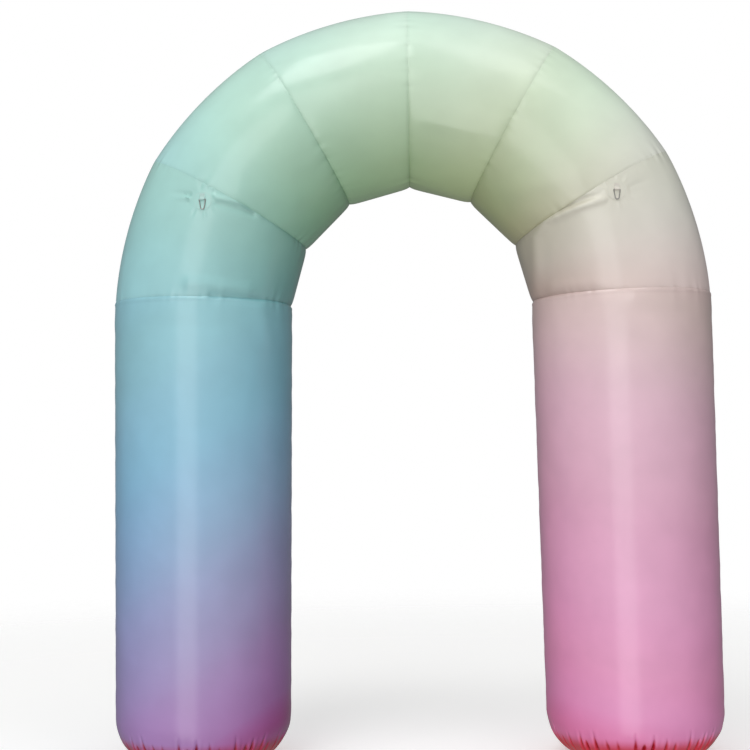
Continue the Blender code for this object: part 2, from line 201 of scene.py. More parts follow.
# Folds on the front: from (x, z, height) to (x, z, height), minus for a hollow, and the half width
FOLDS = {
    "shoulder_left": (
        ((-0.945, 2.764, 0.011), (-0.830, 2.738, 0.006), 0.013),
        ((-0.860, 2.764, 0.001), (-0.790, 2.722, 0.013), 0.010),
        ((-0.790, 2.722, 0.013), (-0.700, 2.664, 0.001), 0.010),
        ((-0.940, 2.738, -0.006), (-0.760, 2.690, -0.009), 0.018),
        ((-1.160, 2.800, -0.001), (-1.062, 2.782, -0.010), 0.011),
        ((-1.160, 2.778, 0.000), (-1.062, 2.764, 0.007), 0.009),
        ((-1.120, 2.752, 0.000), (-1.060, 2.744, -0.005), 0.009),
        ((-1.060, 2.352, 0.010), (-0.800, 2.322, 0.008), 0.034),
        ((-0.960, 2.296, -0.006), (-0.740, 2.286, -0.004), 0.014),
    ),
    "shoulder_right": (
        ((0.925, 2.718, 0.007), (0.800, 2.684, 0.015), 0.019),
        ((0.800, 2.684, 0.015), (0.652, 2.634, 0.010), 0.022),
        ((0.652, 2.634, 0.009), (0.612, 2.570, 0.010), 0.024),
        ((0.612, 2.570, 0.010), (0.620, 2.430, 0.012), 0.026),
        ((0.620, 2.430, 0.012), (0.618, 2.300, 0.008), 0.026),
        ((0.915, 2.744, -0.004), (0.840, 2.724, -0.013), 0.014),
        ((0.840, 2.724, -0.013), (0.760, 2.694, -0.014), 0.015),
        ((0.760, 2.694, -0.014), (0.680, 2.664, -0.004), 0.014),
        ((1.050, 2.776, -0.005), (1.160, 2.822, -0.001), 0.013),
        ((1.055, 2.752, -0.004), (1.140, 2.764, -0.001), 0.011),
        ((0.700, 2.312, 0.006), (0.900, 2.318, 0.005), 0.030),
    ),
    "haunch_left": (((-0.560, 2.760, 0.004), (-0.800, 2.800, 0.003), 0.050),),
    "haunch_right": (((0.560, 2.790, 0.005), (0.800, 2.820, 0.003), 0.050),),
    "crown_left": (),
    "crown_right": (((0.090, 3.120, 0.003), (0.310, 3.060, 0.002), 0.030),),
    "leg_left": (((-0.740, 2.235, 0.006), (-0.690, 2.060, 0.003), 0.035),),
    "leg_right": (((1.060, 2.250, 0.004), (1.110, 2.225, 0.002), 0.030),),
}


def fold_height(folds, x, z):
    """How far the folds push the cloth out at places on the front."""
    ridge, hollow = np.zeros_like(x), np.zeros_like(x)
    for (ax, az, start_height), (bx, bz, end_height), half_width in folds:
        run_x, run_z = bx - ax, bz - az
        along = ((x - ax) * run_x + (z - az) * run_z) / (run_x ** 2 + run_z ** 2)
        along = np.clip(along, 0.0, 1.0)
        distance = np.hypot(x - ax - run_x * along, z - az - run_z * along)
        height = start_height + (end_height - start_height) * along
        lift = height * np.exp(-(distance / half_width) ** 2)
        ridge, hollow = np.maximum(ridge, lift), np.minimum(hollow, lift)
    return ridge + hollow


def puckers(seam, around, offset):
    """Gathers that run across a seam, offset metres above it or (minus) below it."""
    rng = np.random.RandomState(40 + seam)
    swell = 0.55 + sum(0.22 * np.cos(k * around + rng.uniform(0, 6.28)) for k in (2, 3, 5, 9))
    total = np.zeros_like(around)
    for waves, size in ((23, 0.9), (31, 1.0), (38, 1.0), (47, 0.9), (56, 0.8), (67, 0.7), (79, 0.5)):
        length = 2 * math.pi * TUBE_RADIUS / waves
        slant = rng.uniform(-9.0, 9.0)
        wave = np.cos(waves * around + slant * offset + rng.uniform(0, 6.28))
        total += size * wave * np.exp(-np.abs(offset) / (0.50 * length))
    return PUCKER_HEIGHT * np.clip(swell, 0.12, 1.2) * total


def groove(distance, around):
    """How far the stitching pulls the cloth in near a seam: most on the bend's slack inner side."""
    inner = (0.5 - 0.5 * np.cos(around)) ** 1.5
    sharp = GROOVE_DEPTH * (0.10 + 0.90 * inner) * np.exp(-distance / GROOVE_REACH)
    return sharp + VALLEY_DEPTH * inner * np.exp(-(distance / VALLEY_REACH) ** 1.5)


def gore_section(index, bend):
    """Centre radius, half width and half depth of the tube at angles (degrees) along one gore."""
    half_turn = (SEAMS[index + 1] - SEAMS[index]) / 2
    turn = bend - SEAMS[index] - half_turn
    inner = INNER_RADIUS * math.cos(math.radians(half_turn)) / np.cos(np.radians(turn))
    outer = OUTER_RADIUS + OUTER_CORNER * (turn / half_turn) ** 2
    centre = (inner + outer) / 2
    pinch = SEAM_PINCH * np.exp(-np.radians(half_turn - np.abs(turn)) * centre / PINCH_REACH)
    half_depth = HALF_DEPTH - SEAM_DRAW * (turn / half_turn) ** 2
    return centre, (outer - inner) / 2 - pinch, half_depth - pinch


def front_share(around):
    """1 on the front of the tube, 0 on its back."""
    share = np.clip(-np.sin(around) / FRONT_FADE, 0.0, 1.0)
    return share * share * (3 - 2 * share)


def calm(name, x, z):
    """How far a tether patch lets the shoulder's cloth fold: 0 under the patch, 1 away from it."""
    if not name.startswith("shoulder"):
        return 1.0
    patch_x, patch_z = TETHERS[name.split("_")[1]]
    share = (np.hypot(x - patch_x, z - patch_z) - CALM_REACH[0]) / (CALM_REACH[1] - CALM_REACH[0])
    share = np.clip(share, 0.0, 1.0)
    return share * share * (3 - 2 * share)


def patch_puckers(name, x, z):
    """Short creases that run out all round a tether patch, where its stitching draws the cloth up."""
    if not name.startswith("shoulder"):
        return 0.0
    patch_x, patch_z = TETHERS[name.split("_")[1]]
    turn = np.arctan2(z - patch_z, x - patch_x)
    distance = np.hypot(x - patch_x, z - patch_z)
    wave = np.cos(13 * turn + 1.3 * np.sin(2 * turn)) + 0.6 * np.cos(19 * turn + 2.0)
    return PATCH_PUCKER * wave * np.exp(-((distance - 0.064) / 0.020) ** 2)


def gore_skin(index, bend, around):
    """Points on one gore's skin, with the distance to its nearer seam."""
    centre, half_width, half_depth = gore_section(index, bend)
    phi = np.radians(bend)
    reach = centre + half_width * np.cos(around)
    above = np.radians(bend - SEAMS[index]) * reach
    below = np.radians(SEAMS[index + 1] - bend) * reach
    x = reach * np.cos(phi)
    z = BEND_CENTRE_Z + reach * np.sin(phi)
    front = front_share(around)
    lift = (fold_height(FOLDS[GORE_NAMES[index]], x, z) + patch_puckers(GORE_NAMES[index], x, z)) * front
    lift += puckers(index, around, above) + puckers(index + 1, around, -below)
    lift *= 1 - front * (1 - calm(GORE_NAMES[index], x, z))
    lift -= groove(above, around) + groove(below, around)
    out = reach + lift * np.cos(around)
    x = out * np.cos(phi)
    z = BEND_CENTRE_Z + out * np.sin(phi)
    y = (half_depth + lift) * np.sin(around)
    return np.stack([x, y, z], axis=-1), np.minimum(above, below)


def crowded(share, low_crowd, high_crowd):
    """Rows from 0 to 1, closer together at the low end, the high end or both."""
    low = share ** low_crowd
    high = 1 - (1 - share) ** high_crowd
    return low * (1 - share) + high * share


def vertex_places(piece):
    co = np.empty(len(piece.data.vertices) * 3)
    piece.data.vertices.foreach_get("co", co)
    return co.reshape(-1, 3)


def set_places(piece, places):
    piece.data.vertices.foreach_set("co", places.astype(np.float32).ravel())
    piece.data.update()


def lay_cloth_map(piece, around_length, along_length, to_seam=None, whole_round=math.inf):
    """A UV map in metres, around and along the cloth, and each point's distance to the nearest seam."""
    if to_seam is None:
        to_seam = np.full(len(around_length), NO_SEAM)
    mesh = piece.data
    corners = np.empty(len(mesh.loops), np.int32)
    mesh.loops.foreach_get("vertex_index", corners)
    starts = np.empty(len(mesh.polygons), np.int32)
    mesh.polygons.foreach_get("loop_start", starts)
    around_uv = around_length[corners]
    face_top = np.repeat(np.maximum.reduceat(around_uv, starts), np.diff(np.append(starts, len(corners))))
    around_uv = np.where(face_top - around_uv > whole_round / 2, around_uv + whole_round, around_uv)
    uv = np.stack([around_uv, along_length[corners]], axis=-1)
    layer = mesh.uv_layers.new(name="cloth")
    layer.data.foreach_set("uv", uv.astype(np.float32).ravel())
    distance = mesh.attributes.new("to_seam", "FLOAT", "POINT")
    distance.data.foreach_set("value", to_seam.astype(np.float32))


def lay_tube_map(piece, angle, along, to_seam):
    """The cloth's map on a tube."""
    lay_cloth_map(piece, np.mod(angle, 2 * math.pi) * TUBE_RADIUS, along, to_seam, 2 * math.pi * TUBE_RADIUS)


def finish_piece(piece, name, kind, material, angle):
    """Name, material, smooth shading and the frame's calls for the piece that dresses a node."""
    piece.name = piece.data.name = name + kind
    piece.data.materials.append(material)
    bpy.ops.object.select_all(action="DESELECT")
    piece.select_set(True)
    bpy.context.view_layer.objects.active = piece
    bpy.ops.object.shade_smooth_by_angle(angle=math.radians(angle))
    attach(piece, "root")
    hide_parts(name)


def finish_cloth(piece, name, cloth):
    """Finish one blown-up panel."""
    finish_piece(piece, name, "_cloth", cloth, 50)


# The print is one gradient along the whole tube. Each panel was printed on its own, so its colours
# step a little at the seams. The cloth is a close satin weave, with two rows of stitches on either side
# of a seam.
WEAVE_PITCH = 0.0014
WEAVE_HEIGHT = 0.000025
SOFT_CREASES = (5.0, 2.0)       # scale and detail of the noise, and the height of its relief
SOFT_HEIGHT = 0.0050
FINE_CREASES = (26.0, 3.0)
FINE_HEIGHT = 0.0006
NOISE_SPAN = (0.3, 0.7)         # nearly all of the noise lies in here
MOTTLE_TONES = (0.97, 1.03)
SATIN_DULLNESS = (0.40, 0.46)
SATIN_SPECULAR = 0.18
SATIN_GLOSS = 0.60              # the woven satin's narrower shine over the dull one
SATIN_GLOSS_SPREAD = 0.18
STITCH_ROWS = (0.0045, 0.0105)  # distance from the seam
STITCH_EDGE = (0.0009, 0.0003)  # distance from its row where a stitch starts and where it is full
STITCH_LENGTH = 0.0046
STITCH_PART = (0.43, 0.33)      # the same along the row, as a share of the stitch's length
STITCH_HEIGHT = 0.0005
THREAD_TONE = 0.94              # the thread is dyed a little darker than the cloth
HEM_RED = (0.088, 0.165)        # the print is all red below the first height and has none above the second
FOLD_RED_REFLECTION = 0.070            # painted reflected red light: inside the gathers the red reaches this much higher
FOLD_SHADE = 0.36               # painted shade: how much darker the colour is painted deep in a gather
HEM_REDS = {"left": (0.52, 0.02, 0.07), "right": (0.74, 0.02, 0.055)}
EDGE_PAINTED_SHADE = 0.38               # painted shade: how much deeper and darker the colour is painted where the cloth is seen at a slant
BEND_MEAN_RADIUS = 1.0503
LEG_MIDDLE_X = 1.06

# For each panel: where its print starts and ends, metres along the arch; how much stronger each colour
# is painted at the tube's outer side than in its middle, and weaker at its inner side, as painted light
# and shade; and the gradient's stops, from its start to its end
PRINTS_AND_PAINTED_SHADE = {
    "leg_left": ((0.0, 2.264), (0.09, 0.03, 0.08), (
        (0.00, (0.51, 0.14, 0.41)), (0.055, (0.49, 0.235, 0.54)), (0.22, (0.445, 0.345, 0.615)),
        (0.44, (0.37, 0.465, 0.695)), (0.66, (0.315, 0.57, 0.75)), (0.86, (0.33, 0.61, 0.715)),
        (1.00, (0.34, 0.63, 0.68)),
    )),
    "shoulder_left": ((2.264, 2.814), (0.26, 0.18, 0.22), (
        (0.0, (0.355, 0.645, 0.67)), (0.5, (0.365, 0.64, 0.62)), (1.0, (0.39, 0.65, 0.59)),
    )),
    "haunch_left": ((2.814, 3.364), (0.28, 0.20, 0.35), (
        (0.0, (0.405, 0.67, 0.595)), (0.5, (0.44, 0.68, 0.56)), (1.0, (0.45, 0.665, 0.53)),
    )),
    "crown_left": ((3.364, 3.914), (0.23, 0.17, 0.37), (
        (0.0, (0.475, 0.685, 0.54)), (0.5, (0.51, 0.69, 0.535)), (1.0, (0.55, 0.715, 0.545)),
    )),
    "crown_right": ((3.914, 4.464), (0.24, 0.22, 0.43), (
        (0.0, (0.535, 0.69, 0.52)), (0.5, (0.59, 0.715, 0.545)), (1.0, (0.625, 0.725, 0.535)),
    )),
    "haunch_right": ((4.464, 5.014), (0.29, 0.32, 0.49), (
        (0.0, (0.59, 0.69, 0.505)), (0.5, (0.65, 0.735, 0.56)), (1.0, (0.70, 0.70, 0.575)),
    )),
    "shoulder_right": ((5.014, 5.563), (0.18, 0.23, 0.27), (
        (0.0, (0.695, 0.685, 0.585)), (0.5, (0.745, 0.69, 0.625)), (1.0, (0.77, 0.62, 0.585)),
    )),
    "leg_right": ((7.827, 5.563), (-0.01, 0.01, 0.02), (
        (0.055, (0.92, 0.29, 0.555)), (0.11, (0.915, 0.365, 0.64)), (0.20, (0.915, 0.40, 0.64)),
        (0.33, (0.895, 0.435, 0.66)), (0.55, (0.85, 0.48, 0.64)), (0.80, (0.815, 0.555, 0.64)),
        (1.00, (0.765, 0.615, 0.585)),
    )),
}


def new_group(name, given, results):
    """A node group with values in and out, and its output node."""
    group = bpy.data.node_groups.new(name, "ShaderNodeTree")
    for sockets, in_out in ((given, "INPUT"), (results, "OUTPUT")):
        for socket in sockets:
            group.interface.new_socket(socket, in_out=in_out, socket_type="NodeSocketFloat")
    return group, group.nodes.new("NodeGroupOutput")


def noise(tree, scale, detail):
    """Noise in the object's own coordinates."""
    place = node(tree, "TexCoord").outputs["Object"]
    return node(tree, "TexNoise", {"Vector": place, "Scale": scale, "Detail": detail}).outputs["Fac"]


def scaled(tree, colour, factor):
    return node(tree, "VectorMath", {0: colour, "Scale": factor}, operation="SCALE").outputs[0]


def emboss(tree, shader, height):
    """Give the shader a relief, in metres."""
    bump = node(tree, "Bump", {"Height": height, "Strength": 1.0, "Distance": 1.0})
    tree.links.new(bump.outputs[0], shader.inputs["Normal"])


def cloth_axes(tree):
    return node(tree, "SeparateXYZ", {0: node(tree, "UVMap", uv_map="cloth").outputs[0]}).outputs


def crossed_threads(tree, axes, turns):
    """A wave across the cloth times a wave along it, in radians per metre."""
    waves = [maths(tree, "SINE", maths(tree, "MULTIPLY", axes[a], t)) for a, t in zip("XY", turns)]
    return maths(tree, "MULTIPLY", *waves)


def make_along_arch():
    """Node group: metres along the arch from the left foot, and from -1 to 1 across it, inner to outer."""
    group, result = new_group("along_arch", ("Lean",), ("Along", "Across"))
    given = group.nodes.new("NodeGroupInput")
    axes = node(group, "SeparateXYZ", {0: node(group, "TexCoord").outputs["Object"]}).outputs
    rise = maths(group, "SUBTRACT", axes["Z"], BEND_CENTRE_Z)
    up = maths(group, "MAXIMUM", rise, 0.0)
    left = maths(group, "MULTIPLY", axes["X"], -1.0)
    turn = maths(group, "ARCTAN2", up, left)
    side = maths(group, "SIGN", left)
    leg = maths(group, "MULTIPLY", maths(group, "MINIMUM", rise, 0.0), side)
    along = maths(group, "ADD", maths(group, "MULTIPLY_ADD", turn, BEND_MEAN_RADIUS, BEND_CENTRE_Z), leg)
    middle = maths(group, "MULTIPLY_ADD", side, LEG_MIDDLE_X, axes["X"])
    lean = maths(group, "MULTIPLY", middle, given.outputs["Lean"])
    flat = node(group, "CombineXYZ", {"X": axes["X"], "Z": up}).outputs[0]
    reach = node(group, "VectorMath", {0: flat}, operation="LENGTH").outputs["Value"]
    across = ramped(group, reach, (INNER_RADIUS, OUTER_RADIUS), (-1.0, 1.0))
    group.links.new(maths(group, "SUBTRACT", along, lean), result.inputs["Along"])
    group.links.new(across, result.inputs["Across"])
    return group


def make_satin_weave():
    """Node group: relief of the weave, the stitches and soft creases, and a mask of the stitches."""
    group, result = new_group("satin_weave", (), ("Relief", "Stitch", "Mottle"))
    axes = cloth_axes(group)
    weave = crossed_threads(group, axes, (2 * math.pi / WEAVE_PITCH, 2 * math.pi / (WEAVE_PITCH * 0.8)))
    seam = node(group, "Attribute", attribute_name="to_seam").outputs["Fac"]
    rows = []
    for row in STITCH_ROWS:
        width = maths(group, "ABSOLUTE", maths(group, "SUBTRACT", seam, row))
        rows.append(ramped(group, width, STITCH_EDGE))
    part = maths(group, "FRACT", maths(group, "DIVIDE", axes["X"], STITCH_LENGTH))
    half = maths(group, "ABSOLUTE", maths(group, "SUBTRACT", part, 0.5))
    stitch = maths(group, "MULTIPLY", maths(group, "MAXIMUM", *rows), ramped(group, half, STITCH_PART))
    soft, crease = noise(group, *SOFT_CREASES), noise(group, *FINE_CREASES)
    relief = maths(group, "MULTIPLY", weave, WEAVE_HEIGHT)
    for layer, height in ((stitch, STITCH_HEIGHT), (soft, SOFT_HEIGHT), (crease, FINE_HEIGHT)):
        relief = maths(group, "MULTIPLY_ADD", layer, height, relief)
    for socket, value in (("Relief", relief), ("Stitch", stitch), ("Mottle", soft)):
        group.links.new(value, result.inputs[socket])
    return group


along_arch = make_along_arch()
satin_weave = make_satin_weave()


def printed_satin_with_painted_shade(name, span, painted_shade_across, stops, lean=0.0, hem_red=None):
    """Printed satin polyester: a gradient along the arch, soft mottling, stitches and a fine weave, with
    painted light and shade across the tube, painted shade where the cloth is seen at a slant, and on the
    legs painted shade and painted reflected red light in the gathers.
    """
    cloth, tree, shader = new_material(name)
    arch = node(tree, "Group", {"Lean": lean}, node_tree=along_arch).outputs
    weave = node(tree, "Group", node_tree=satin_weave).outputs
    ramp = node(tree, "ValToRGB", {"Fac": ramped(tree, arch["Along"], span)})
    ramp.color_ramp.interpolation = "CARDINAL"
    points = ramp.color_ramp.elements
    while len(points) < len(stops):
        points.new(0.5)
    for point, (where, colour) in zip(points, stops):
        point.position = where
        point.color = (*colour, 1.0)
    # Painted light and shade: each colour is made stronger towards the tube's outer side and weaker towards
    # its inner side.
    strength = node(
        tree, "VectorMath", {0: arch["Across"], 1: painted_shade_across, 2: (1, 1, 1)}, operation="MULTIPLY_ADD"
    ).outputs[0]
    colour = node(tree, "VectorMath", {0: ramp.outputs[0], 1: strength}, operation="MULTIPLY").outputs[0]
    if hem_red:
        height = node(tree, "SeparateXYZ", {0: node(tree, "TexCoord").outputs["Object"]}).outputs["Z"]
        fold = node(tree, "Attribute", attribute_name="in_fold").outputs["Fac"]
        # The hem's red print, which reaches higher inside the gathers as painted reflected red light.
        lowered = maths(tree, "MULTIPLY_ADD", fold, -FOLD_RED_REFLECTION, height)
        hem_and_reflected_red = ramped(tree, lowered, (HEM_RED[1], HEM_RED[0]), kind="SMOOTHSTEP")
        colour = node(tree, "Mix", {"Factor": hem_and_reflected_red, "A": colour, "B": (*hem_red, 1.0)}, data_type="RGBA")
        # Painted shade: darker deep in the gathers.
        shade = maths(tree, "MULTIPLY_ADD", fold, -FOLD_SHADE, 1.0)
        colour = scaled(tree, colour.outputs["Result"], shade)
    mottled = scaled(tree, colour, ramped(tree, weave["Mottle"], NOISE_SPAN, MOTTLE_TONES))
    thread = scaled(tree, mottled, THREAD_TONE)
    sewn = node(tree, "Mix", {"Factor": weave["Stitch"], "A": mottled, "B": thread}, data_type="RGBA")
    # Painted shade: the colour is made deeper and darker towards the outline, where the cloth is seen at a
    # slant.
    slant = node(tree, "LayerWeight", {"Blend": 0.5}).outputs["Facing"]
    depth = maths(tree, "MULTIPLY_ADD", slant, EDGE_PAINTED_SHADE, 1.0)
    edge_shaded = node(tree, "Gamma", {"Color": sewn.outputs["Result"], "Gamma": depth}).outputs[0]
    tree.links.new(edge_shaded, shader.inputs["Base Color"])
    tree.links.new(ramped(tree, weave["Mottle"], NOISE_SPAN, SATIN_DULLNESS), shader.inputs["Roughness"])
    emboss(tree, shader, weave["Relief"])
    shader.inputs["Specular IOR Level"].default_value = SATIN_SPECULAR
    shader.inputs["Coat Weight"].default_value = SATIN_GLOSS
    shader.inputs["Coat Roughness"].default_value = SATIN_GLOSS_SPREAD
    return cloth


def make_gore(index):
    """A ring of cloth at the lower seam, spun around the bend's centre, closed, then blown up."""
    name = GORE_NAMES[index]
    start, end = SEAMS[index], SEAMS[index + 1]
    phi = math.radians(start)
    bpy.ops.object.select_all(action="DESELECT")
    bpy.ops.mesh.primitive_circle_add(
        vertices=GORE_AROUND,
        radius=TUBE_RADIUS,
        location=(BEND_MEAN_RADIUS * math.cos(phi), 0.0, BEND_CENTRE_Z + BEND_MEAN_RADIUS * math.sin(phi)),
        rotation=(0.0, -phi, 0.0),
    )
    piece = bpy.context.object
    bpy.ops.object.transform_apply(location=True, rotation=True, scale=True)
    bpy.ops.object.mode_set(mode="EDIT")
    bpy.ops.mesh.select_all(action="SELECT")
    bpy.ops.mesh.spin(
        steps=GORE_ROWS, angle=math.radians(end - start),
        center=(0.0, 0.0, BEND_CENTRE_Z), axis=(0.0, 1.0, 0.0),
    )
    bpy.ops.mesh.select_all(action="SELECT")
    bpy.ops.mesh.fill_holes(sides=0)
    bpy.ops.mesh.normals_make_consistent(inside=False)
    bpy.ops.object.mode_set(mode="OBJECT")
    places = vertex_places(piece)
    bend = np.degrees(np.arctan2(places[:, 2] - BEND_CENTRE_Z, places[:, 0]))
    reach = np.hypot(places[:, 0], places[:, 2] - BEND_CENTRE_Z)
    around = np.arctan2(places[:, 1], reach - BEND_MEAN_RADIUS)
    share = crowded(np.clip((bend - start) / (end - start), 0.0, 1.0), 2.2, 2.2)
    bend = start + (end - start) * share
    skin, to_seam = gore_skin(index, bend, around)
    normal_x, normal_z = -np.sin(np.radians(bend)), np.cos(np.radians(bend))
    inset = SEAM_GAP / 2 * np.where(share < 1e-6, 1.0, np.where(share > 1 - 1e-6, -1.0, 0.0))
    skin[:, 0] += normal_x * inset
    skin[:, 2] += normal_z * inset
    set_places(piece, skin)
    lay_tube_map(piece, around, np.radians(bend - start) * BEND_MEAN_RADIUS, to_seam)
    cloth = printed_satin_with_painted_shade("print_" + name, *PRINTS_AND_PAINTED_SHADE[name])
    finish_cloth(piece, name, cloth)


for gore in range(len(GORE_NAMES)):
    make_gore(gore)

# Legs: two upright tubes of the same cloth, sewn to the bend at the top. Their hems are gathered
# where they turn under at the ground, which leaves narrow folds all round the foot.
LEG_TOP_X = 1.0565
LEG_SPREAD = 0.022
LEG_TOP_RADIUS = 0.4475
LEG_FOOT_RADIUS = 0.4365
FOOT_ROUNDING = 0.240
HEM_HEIGHT = 0.045
LEG_AROUND = 480
FOOT_ZONE = 0.230               # below this height the cloth is cut finer, in rows this far apart
FOOT_ROW = 0.0045
TOP_ZONE = 2.06                 # above this height the rows draw together towards the seam
LIP_HEIGHT = 0.0030             # the seam allowance lifts the leg's cloth just under its top seam
LIP_BELOW = 0.0130
LIP_HALF_WIDTH = 0.0070
GATHERS = 46
GATHER_TOP = 0.205
GATHER_FULL = 0.125             # height where the gathers are deepest
GATHER_DEPTH = 0.0135
GATHER_WIDTH = 0.0068
GATHER_LIP = 0.0028             # how far the cloth stands out on either side of a gather
RIPPLE_HEIGHT = 0.0007
GRADIENT_LEAN = {"left": 0.60, "right": 0.22}      # how much lower along the gradient the colours are taken on the inner side


def leg_heights():
    """Heights of the leg's rows, closer together at the hem and under the seam."""
    foot = np.arange(HEM_HEIGHT, FOOT_ZONE, FOOT_ROW)
    shaft = np.linspace(FOOT_ZONE, TOP_ZONE, 48)
    top = TOP_ZONE + (BEND_CENTRE_Z - TOP_ZONE) * (1 - (1 - np.linspace(0, 1, 24)) ** 1.9)
    return np.concatenate([foot, shaft[:-1], top])


def foot_radius(height):
    """Radius of the foot's round edge at heights above the ground."""
    rise = np.clip(FOOT_ROUNDING - height, 0.0, FOOT_ROUNDING)
    return LEG_FOOT_RADIUS - FOOT_ROUNDING + np.sqrt(FOOT_ROUNDING ** 2 - rise ** 2)


def gather_valleys():
    """Where the hem's gathers lie, as uneven as hand gathering, with each one's strength and top."""
    widths = [1.0 + 0.32 * math.sin(2.4 * i) + 0.22 * math.sin(5.1 * i + 1.0) for i in range(GATHERS)]
    ends = np.cumsum(widths) * 2 * math.pi / sum(widths)
    counts = 3 * np.arange(GATHERS) + 2
    return ends, 0.75 + 0.35 * np.sin(1.7 * counts), 0.85 + 0.15 * np.sin(2.9 * counts + 0.6)


def gathers(angle, height):
    """How far the gathered hem is drawn in (minus) or stands out beside each fold (plus)."""
    total = np.zeros_like(angle)
    for valley, strength, top in zip(*gather_valleys()):
        apart = np.mod(angle - valley + math.pi, 2 * math.pi) - math.pi
        apart = apart * LEG_FOOT_RADIUS - 0.10 * (height - GATHER_FULL) * math.sin(7 * valley)
        rise = np.clip((GATHER_TOP * top - height) / (GATHER_TOP * top - GATHER_FULL), 0.0, 1.0)
        rise = rise * np.clip(height / 0.06, 0.0, 1.0)
        width = GATHER_WIDTH * (0.55 + 0.45 * rise)
        total -= GATHER_DEPTH * strength * rise ** 1.3 * np.exp(-(np.abs(apart) / width) ** 1.6)
        total += GATHER_LIP * strength * np.sqrt(rise) * np.exp(-((np.abs(apart) - 0.018) / 0.010) ** 2)
    return total


def leg_ripples(side, angle, height):
    """Shallow level ripples along the leg, a few millimetres at most."""
    rng = np.random.RandomState(7 if side < 0 else 11)
    total = np.zeros_like(angle)
    for waves, turns, size in ((34, 1, 0.8), (42, -2, 1.0), (55, 3, 0.9), (71, 2, 0.7), (20, -1, 0.9)):
        swell = 0.5 + 0.5 * np.cos(2 * angle + rng.uniform(0, 6.28))
        total += size * swell * np.cos(waves * height + turns * angle + rng.uniform(0, 6.28))
    return RIPPLE_HEIGHT * total


def leg_skin(name, side, angle, height):
    """Points on one leg's skin, with the distance to the seam at its top."""
    index = 0 if side > 0 else len(GORE_NAMES) - 1
    bend = SEAMS[0] if side > 0 else SEAMS[-1]
    around = angle if side > 0 else math.pi - angle
    seam, _ = gore_skin(index, np.full_like(angle, bend), around)
    share = np.clip((BEND_CENTRE_Z - height) / (BEND_CENTRE_Z - FOOT_ROUNDING), 0.0, 1.0)
    z = np.where(height > FOOT_ROUNDING, seam[:, 2] + (FOOT_ROUNDING - seam[:, 2]) * share, height)
    below = seam[:, 2] - z
    radius = LEG_TOP_RADIUS + (LEG_FOOT_RADIUS - LEG_TOP_RADIUS) * share
    radius = np.where(height > FOOT_ROUNDING, radius, foot_radius(height))
    middle = side * (LEG_TOP_X + LEG_SPREAD * (1 - z / BEND_CENTRE_Z))
    blend = np.exp(-below / PINCH_REACH)
    x = middle + radius * np.cos(angle)
    y = radius * np.sin(angle)
    x += (seam[:, 0] - x) * blend
    y += (seam[:, 1] - y) * blend
    front = np.clip(-np.sin(angle) / FRONT_FADE, 0.0, 1.0)
    seam_number = 0 if side > 0 else len(SEAMS) - 1
    lift = fold_height(FOLDS[name], x, z) * front
    lift += puckers(seam_number, around, -below * side) - groove(below, around)
    lift -= (puckers(seam_number, around, np.zeros_like(below)) - groove(0.0, around)) * blend
    lift += LIP_HEIGHT * np.exp(-((below - LIP_BELOW) / LIP_HALF_WIDTH) ** 2)
    lift += (leg_ripples(side, angle, height) + gathers(angle, height)) * (1 - blend)
    x += lift * np.cos(angle)
    y += lift * np.sin(angle)
    return np.stack([x, y, z], axis=-1), below


def raise_tube(middle_x, sides, heights):
    """A closed tube of cloth, extruded up from a circle to each of the heights."""
    bpy.ops.object.select_all(action="DESELECT")
    bpy.ops.mesh.primitive_circle_add(
        vertices=sides, radius=LEG_FOOT_RADIUS, location=(middle_x, 0.0, heights[0])
    )
    piece = bpy.context.object
    bpy.ops.object.transform_apply(location=True, rotation=True, scale=True)
    bpy.ops.object.mode_set(mode="EDIT")
    bpy.ops.mesh.select_mode(type="EDGE")
    bpy.ops.mesh.select_all(action="SELECT")
    for rise in np.diff(heights):
        bpy.ops.mesh.extrude_region_move(TRANSFORM_OT_translate={"value": (0.0, 0.0, float(rise))})
    bpy.ops.mesh.select_all(action="SELECT")
    bpy.ops.mesh.fill_holes(sides=0)
    bpy.ops.mesh.normals_make_consistent(inside=False)
    bpy.ops.mesh.select_all(action="DESELECT")
    bpy.ops.object.mode_set(mode="OBJECT")
    return piece


def cut_foot_finer(piece):
    """Halve every level edge of the foot, where the gathers need closer points."""
    heights = vertex_places(piece)[:, 2]
    ends = np.empty(len(piece.data.edges) * 2, np.int32)
    piece.data.edges.foreach_get("vertices", ends)
    ends = ends.reshape(-1, 2)
    level = np.abs(heights[ends[:, 0]] - heights[ends[:, 1]]) < 1e-5
    piece.data.edges.foreach_set("select", level & (heights[ends[:, 0]] < FOOT_ZONE - 0.003))
    bpy.ops.object.mode_set(mode="EDIT")
    bpy.ops.mesh.subdivide(number_cuts=1)
    bpy.ops.object.mode_set(mode="OBJECT")


